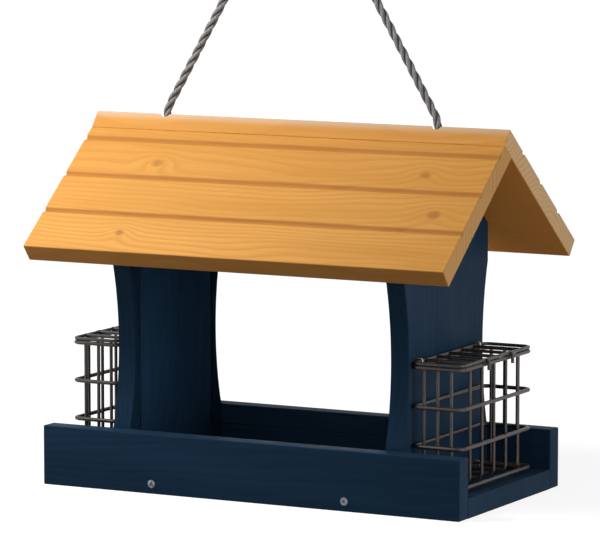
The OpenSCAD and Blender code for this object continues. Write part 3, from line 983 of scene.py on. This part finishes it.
def make_roof():
    tree = groove_tree()
    half = GROOVE_W / 2
    vee = prism([(-half, 0), (-half, MM), (half, MM), (half, 0), (0, -GROOVE_D)], -roof_l, roof_l)
    cutter = piece("groove_cutter", vee)
    rope_holes = Shape()
    for side in (-1, 1):
        foot = at(side * wall_mid, 0, gable_z - ROOF_HOLE_D)
        rope_holes += drill(ROOF_HOLE_D, 0, ROOF_DRILL_L, 40).moved(foot)
    ends = {
        "front_roof_board": [(0, 0), (SLOPE_L, 0), (SLOPE_L, BOARD_T), (lap_foot, BOARD_T)],
        "back_roof_board": [(-lap_l, 0), (SLOPE_L, 0), (SLOPE_L, BOARD_T), (-lap_l, BOARD_T)],
    }
    for side, (node, end), wood in zip((-1, 1), ends.items(), (front_wood, back_wood)):
        blank = [(side * down, up) for down, up in end]
        blank = piece("blank", prism(blank, -roof_l / 2, roof_l / 2))
        first = Vector((0, side * (SLOPE_L - GROOVE_PITCH), BOARD_T))
        sizes = {"Cutter": cutter, "Grooves": GROOVES, "First Groove": first,
                 "Groove Step": Vector((0, -side * GROOVE_PITCH, 0))}
        board = grow(node + "_board", tree, sizes, wood, blank.data)
        board.data.transform(slope(side))
        bpy.data.objects.remove(blank)
        holes = [rope_holes]
        if side > 0:
            holes.append(screw_holes(ridge_screw_frames, 3 * MM))
        carve(board, holes=holes, angle=35)
        fit(board, "roof", "roof_wood", node)
    bpy.data.objects.remove(cutter)


make_roof()


# Wire work
BEAD_SHARE = 0.62
WIRE_SIDES = 14


def sweep(graph, curve, diameter, sides=WIRE_SIDES):
    """Round wire along a curve."""
    put = {"Resolution": sides, "Radius": graph.times(diameter, 0.5)}
    circle = graph.add("GeometryNodeCurvePrimitiveCircle", put=put)
    return swept(graph, curve, circle)


def polyline(graph, points):
    """An open line through points given as vector outputs."""
    line = graph.add("GeometryNodeMeshLine", put={"Count": len(points)})
    index = graph.add("GeometryNodeInputIndex")
    switch = graph.tree.nodes.new("GeometryNodeIndexSwitch")
    switch.data_type = "VECTOR"
    while len(switch.index_switch_items) < len(points):
        switch.index_switch_items.new()
    graph.feed(switch.inputs[0], index)
    for i, point in enumerate(points):
        graph.feed(switch.inputs[i + 1], point)
    line = graph.add("GeometryNodeSetPosition", put={"Geometry": line, "Position": switch.outputs[0]})
    return graph.add("GeometryNodeMeshToCurve", line)


def bend(graph, curve, radius, count=6):
    put = {"Curve": curve, "Count": count, "Radius": radius, "Limit Radius": True}
    return graph.add("GeometryNodeFilletCurve", put=put, mode="POLY")


def flat_frame(graph, given):
    """The round-cornered frame that a hoop or a lid is bent to, at height 0."""
    width = graph.calc("SUBTRACT", given["Outer X"], given["Inner X"])
    height = graph.times(given["Half Width"], 2.0)
    hoop = graph.add("GeometryNodeCurvePrimitiveQuadrilateral", put={"Width": width, "Height": height})
    hoop = bend(graph, hoop, given["Bend"], 8)
    middle = graph.times(graph.calc("ADD", given["Outer X"], given["Inner X"]), 0.5)
    return graph.add("GeometryNodeTransform", put={"Geometry": hoop, "Translation": graph.combine(middle)})


def join(graph, parts):
    joined = graph.tree.nodes.new("GeometryNodeJoinGeometry")
    for part in parts:
        graph.tree.links.new(part, joined.inputs[0])
    return joined.outputs[0]


def beads(graph, points, diameter, seed):
    """A small uneven weld bead on each point."""
    radius = graph.times(diameter, BEAD_SHARE)
    ball = graph.add("GeometryNodeMeshIcoSphere", put={"Radius": radius, "Subdivisions": 2})
    size = graph.add("FunctionNodeRandomValue", put={0: (0.9, 0.9, 0.85), 1: (1.2, 1.2, 1.15), "Seed": seed},
                     data_type="FLOAT_VECTOR")
    put = {"Points": points, "Instance": ball, "Scale": size}
    made = graph.add("GeometryNodeRealizeInstances", graph.add("GeometryNodeInstanceOnPoints", put=put))
    return graph.add("GeometryNodeSetShadeSmooth", made)


CAGE_SIZES = {**floats("Inner X", "Outer X", "Half Width", "Bend", "Hoop Wire", "Bar Wire", "Bar Pitch"),
              "Bars": "Int", "Seed": "Int"}


def bar_row(graph, given, one):
    """A copy at each bar of a cage's face or lid."""
    gaps = graph.calc("SUBTRACT", given["Bars"], 1.0)
    first = graph.times(graph.times(gaps, given["Bar Pitch"]), -0.5)
    return row(graph, one, given["Bars"], graph.combine(y=first), graph.combine(y=given["Bar Pitch"]))


def cage_tree():
    """Hoops round a box, upright bars on its sides, and bent bars down its face and under it."""
    own_sizes = floats("Hoop Step", "Foot Z", "Height", "Side Bar X", "Side Bar Y", "Side Pitch", "Face X",
                       "Foot Bar Z", "Foot Bend")
    inputs = {**CAGE_SIZES, **own_sizes, "Hoops": "Int", "Side Bars": "Int"}
    graph, given, result = geometry_tree("wire_cage", inputs)
    first_hoop = graph.times_plus(given["Hoop Wire"], 0.5, given["Foot Z"])
    top = graph.calc("ADD", given["Foot Z"], given["Height"])
    up = graph.combine(z=given["Hoop Step"])
    hoops = row(graph, flat_frame(graph, given), given["Hoops"], graph.combine(z=first_hoop), up)
    parts = [sweep(graph, hoops, given["Hoop Wire"])]
    upright = graph.add("GeometryNodeCurvePrimitiveLine",
                        put={"Start": graph.combine(z=given["Foot Z"]), "End": graph.combine(z=top)})
    back = graph.combine(graph.times(given["Side Pitch"], -1.0))
    for end in (-1.0, 1.0):
        start = graph.combine(given["Side Bar X"], graph.times(given["Side Bar Y"], end))
        bars = row(graph, upright, given["Side Bars"], start, back)
        parts.append(sweep(graph, bars, given["Bar Wire"]))
        joint_y = graph.times(graph.calc("ADD", given["Side Bar Y"], given["Half Width"]), 0.5 * end)
        start = graph.combine(given["Side Bar X"], joint_y, first_hoop)
        column = spots(graph, given["Hoops"], start, up)
        points = row(graph, column, given["Side Bars"], (0.0, 0.0, 0.0), back)
        parts.append(beads(graph, points, given["Bar Wire"], given["Seed"]))
    foot = given["Foot Bar Z"]
    corners = [graph.combine(given["Inner X"], 0.0, foot), graph.combine(given["Face X"], 0.0, foot),
               graph.combine(given["Face X"], 0.0, top)]
    face_bar = bend(graph, polyline(graph, corners), given["Foot Bend"])
    parts.append(sweep(graph, bar_row(graph, given, face_bar), given["Bar Wire"]))
    joint_x = graph.times(graph.calc("ADD", given["Face X"], given["Outer X"]), 0.5)
    column = spots(graph, given["Hoops"], graph.combine(joint_x, 0.0, first_hoop), up)
    wall_end = spots(graph, 1, graph.combine(given["Inner X"], 0.0, foot))
    points = bar_row(graph, given, join(graph, [column, wall_end]))
    parts.append(beads(graph, points, given["Bar Wire"], given["Seed"]))
    return end_tree(graph, given, result, join(graph, parts))


def lid_tree():
    """A frame with bars across it, two of which turn down into catches."""
    own_sizes = floats("Lid Z", "Catch X", "Catch Length", "Catch Bend", "Catch Spacing")
    graph, given, result = geometry_tree("cage_lid", {**CAGE_SIZES, **own_sizes})
    parts = [sweep(graph, flat_frame(graph, given), given["Bar Wire"])]
    bar = graph.add("GeometryNodeCurvePrimitiveLine",
                    put={"Start": graph.combine(given["Inner X"]), "End": graph.combine(given["Outer X"])})
    parts.append(sweep(graph, bar_row(graph, given, bar), given["Bar Wire"]))
    drop = graph.times(given["Catch Length"], -1.0)
    corners = [graph.combine(given["Outer X"]), graph.combine(given["Catch X"]),
               graph.combine(given["Catch X"], 0.0, drop)]
    catch = bend(graph, polyline(graph, corners), given["Catch Bend"])
    catch_y = graph.combine(y=graph.times(given["Catch Spacing"], -0.5))
    catches = row(graph, catch, 2, catch_y, graph.combine(y=given["Catch Spacing"]))
    parts.append(sweep(graph, catches, given["Bar Wire"]))
    ends = join(graph, [spots(graph, 1, graph.combine(given[x])) for x in ("Inner X", "Outer X")])
    parts.append(beads(graph, bar_row(graph, given, ends), given["Bar Wire"], given["Seed"]))
    put = {"Geometry": join(graph, parts), "Translation": graph.combine(z=given["Lid Z"])}
    return end_tree(graph, given, result, graph.add("GeometryNodeTransform", put=put))


def staple_tree():
    """Staples in a row: a crown held out from the wall between two legs that go into it."""
    inputs = floats("Crown X", "Foot", "Half Crown", "Height", "Half Spacing", "Wire", "Bend")
    graph, given, result = geometry_tree("staple_pair", inputs)
    foot = graph.times(given["Foot"], -1.0)
    low = graph.times(given["Half Crown"], -1.0)
    crown, high = given["Crown X"], given["Half Crown"]
    corners = [graph.combine(x, 0.0, z) for x, z in ((foot, low), (crown, low), (crown, high), (foot, high))]
    staple = bend(graph, polyline(graph, corners), given["Bend"], 5)
    start = graph.combine(0.0, graph.times(given["Half Spacing"], -1.0), given["Height"])
    step = graph.combine(y=graph.times(given["Half Spacing"], 2.0))
    staples = row(graph, staple, 2, start, step)
    return end_tree(graph, given, result, sweep(graph, staples, given["Wire"]))


def on_wall(side):
    """From a wall's outer face at X = 0 into place on an end wall.
    The left one is the right one turned half round."""
    return turned(180 if side < 0 else 0, "Z") @ at(wall_out, 0, 0)


def merged(name, objects):
    """One object of several meshes."""
    work = bmesh.new()
    for obj in objects:
        work.from_mesh(obj.data)
    mesh = objects[0].data.copy()
    work.to_mesh(mesh)
    work.free()
    for obj in objects:
        bpy.data.objects.remove(obj)
    return placed(name, mesh)


def make_cages():
    cage, lid, staples = cage_tree(), lid_tree(), staple_tree()
    shared = {"Inner X": hoop_in, "Outer X": hoop_out, "Half Width": hoop_side, "Bend": HOOP_BEND,
              "Hoop Wire": HOOP_D, "Bar Wire": BAR_D, "Bars": FACE_BARS, "Bar Pitch": face_pitch}
    cage_sizes = {"Hoops": HOOPS, "Hoop Step": hoop_step, "Foot Z": CAGE_FOOT, "Height": CAGE_H,
                  "Side Bars": SIDE_BARS, "Side Bar X": CAGE_D - SIDE_PITCH,
                  "Side Bar Y": hoop_side - wire_lap, "Side Pitch": SIDE_PITCH,
                  "Face X": hoop_out - wire_lap,
                  "Foot Bar Z": CAGE_FOOT + HOOP_D + BAR_D / 2 - WELD, "Foot Bend": FOOT_BEND}
    lid_sizes = {"Lid Z": lid_z, "Catch X": CAGE_D + WIRE_GAP + BAR_D / 2, "Catch Length": CATCH_L,
                 "Catch Bend": CATCH_BEND, "Catch Spacing": 2 * face_pitch}
    hinge_grip = HOOP_D + WIRE_GAP + BAR_D
    grips = ((CAGE_FOOT + HOOP_D / 2, HOOP_D), (cage_top - HOOP_D + hinge_grip / 2, hinge_grip))
    for side, word in ((-1, "left"), (1, "right")):
        chance = {"Seed": 5 + side}
        body = grow(word + "_cage_wires", cage, {**shared, **cage_sizes, **chance}, cage_wire)
        cover = grow(word + "_cage_lid_wires", lid, {**shared, **lid_sizes, **chance}, cage_wire)
        pairs = []
        for height, grip in grips:
            sizes = {"Crown X": hoop_in + HOOP_D / 2 + HOLE_GAP + STAPLE_D / 2, "Foot": STAPLE_FOOT,
                     "Half Crown": grip / 2 + HOLE_GAP + STAPLE_D / 2, "Height": height,
                     "Half Spacing": STAPLE_Y, "Wire": STAPLE_D, "Bend": STAPLE_BEND}
            pairs.append(grow("staples", staples, sizes, staple_steel))
        driven = merged(word + "_cage_staples_driven", pairs)
        for obj in (body, cover, driven):
            obj.data.transform(on_wall(side))
        fit(body, "root", "cage_wire", word + "_cage")
        fit(cover, word + "_lid", "cage_wire", word + "_cage_lid")
        fit(driven, "root", "staple_steel", word + "_cage_staples")


make_cages()


# Rope stops
STOP_D = 13 * MM
STOP_L = 12 * MM
CRIMPS = 3
CRIMP_DEPTH = 0.9 * MM


def make_stops():
    """Soft metal sleeves pressed onto the rope in three bands."""
    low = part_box("left_rope_stop")[0].z
    bore, rim, rings = ROPE_D / 2 - 0.1 * MM, 0.6 * MM, 30
    outer = []
    for i in range(rings + 1):
        up = i / rings
        edge = min(up, 1 - up) * STOP_L
        inset = rim * (1 - math.sqrt(max(0, 1 - (1 - edge / rim) ** 2))) if edge < rim else 0
        outer.append((STOP_D / 2 - inset, up * STOP_L))
    profile = [(bore, 0.4 * MM), *outer, (bore, STOP_L - 0.4 * MM), (bore, 0.4 * MM)]
    for side, word in ((-1, "left"), (1, "right")):
        sleeve = lathe(profile, 56)
        for p in sleeve.points:
            if math.hypot(p.x, p.y) > STOP_D / 2 - rim:
                band = math.sin(math.pi * CRIMPS * p.z / STOP_L) ** 2
                press = CRIMP_DEPTH * band * (p.x / math.hypot(p.x, p.y)) ** 2
                p.x -= math.copysign(press, p.x)
        sleeve = sleeve.moved(at(side * wall_mid, 0, low) @ turned(35 * side, "Z"))
        stop = smooth(piece(word + "_rope_stop_sleeve", sleeve, stop_aluminium))
        fit(stop, "root", "stop_aluminium", word + "_rope_stop")


make_stops()


# Windows, which stay as packed
for node in ("front_window", "back_window"):
    pane = frame["nodes"][node]
    pane.data.materials.clear()
    pane.data.materials.append(window_acrylic)


# Floor, light and surroundings
FLOOR_HALF = 6.0
FLOOR_DROP = 0.2 * MM
FLOOR_PLAIN = (0.22, 0.22, 0.22, 1)
FLOOR_SHOWN = (0.36, 0.36, 0.36, 1)
WHITE = (1, 1, 1, 1)
AMBIENT = 0.12
INSIDE_FILL = 0.6
LAMP_AIM = Vector((0, 0, 0.2))

# The place, width and power of each lamp
LAMPS = {
    "top_lamp": ((-0.45, -0.45, 0.95), 0.3, 6.7),
    "front_lamp": ((-0.55, -0.8, 0.95), 0.4, 2.2),
    "left_lamp": ((-0.75, -0.55, 0.25), 0.25, 1.1),
    "right_lamp": ((1.7, -0.35, 0.4), 0.8, 7.4),
    "low_lamp": ((0.8, -0.15, 0.06), 0.3, 0.85),
}


def seen_ray(graph):
    """1 for rays that look for the background: straight from the eye, mirrored or through a clear piece.
    Rays that a dull surface sent on through a window have a share of it, which lights the seed space."""
    path = graph.tree.nodes.new("ShaderNodeLightPath")
    seen = graph.calc("MAXIMUM", path.outputs["Is Camera Ray"], path.outputs["Is Glossy Ray"])
    seen = graph.calc("MAXIMUM", seen, path.outputs["Is Transmission Ray"])
    sent_on = graph.calc("GREATER_THAN", path.outputs["Diffuse Depth"], 0.5)
    return graph.times(seen, graph.times_plus(sent_on, INSIDE_FILL - 1, 1.0))


def make_floor():
    floor = piece("floor_sheet", Shape([(-1, -1, 0), (1, -1, 0), (1, 1, 0), (-1, 1, 0)], [range(4)]).moved(
        at(0, 0, -FLOOR_DROP) @ Matrix.Scale(FLOOR_HALF, 4)))
    material = bpy.data.materials.new("pale_floor")
    material.use_nodes = True
    tree = material.node_tree
    tree.nodes.clear()
    graph = Graph(tree)
    plain = graph.add("ShaderNodeBsdfDiffuse", FLOOR_PLAIN)
    lit = graph.add("ShaderNodeBsdfDiffuse", FLOOR_SHOWN)
    away = graph.vector("LENGTH", graph.add("ShaderNodeTexCoord", out="Object"), out="Value")
    glow = graph.add("ShaderNodeEmission", WHITE, graph.fade(away, 0.3, 0.8, 0.86, 1.0))
    shown = graph.add("ShaderNodeAddShader", lit, glow)
    both = graph.add("ShaderNodeMixShader", seen_ray(graph), plain, shown)
    graph.feed(tree.nodes.new("ShaderNodeOutputMaterial").inputs["Surface"], both)
    floor.data.materials.append(material)


def make_light():
    world = bpy.data.worlds.new("white_room")
    world.use_nodes = True
    bpy.context.scene.world = world
    graph = Graph(world.node_tree)
    strength = graph.times_plus(seen_ray(graph), 1 - AMBIENT, AMBIENT)
    sky = world.node_tree.nodes["Background"].inputs
    graph.feed(sky["Color"], WHITE)
    graph.feed(sky["Strength"], strength)
    for name, (place, size, power) in LAMPS.items():
        data = bpy.data.lights.new(name, "AREA")
        data.shape, data.size, data.energy = "DISK", size, power
        lamp = placed(name, data)
        lamp.location = place
        lamp.rotation_euler = (LAMP_AIM - Vector(place)).to_track_quat("-Z", "Y").to_euler()
        lamp.visible_camera = False


make_floor()
make_light()
bpy.context.scene.view_settings.view_transform = "Standard"
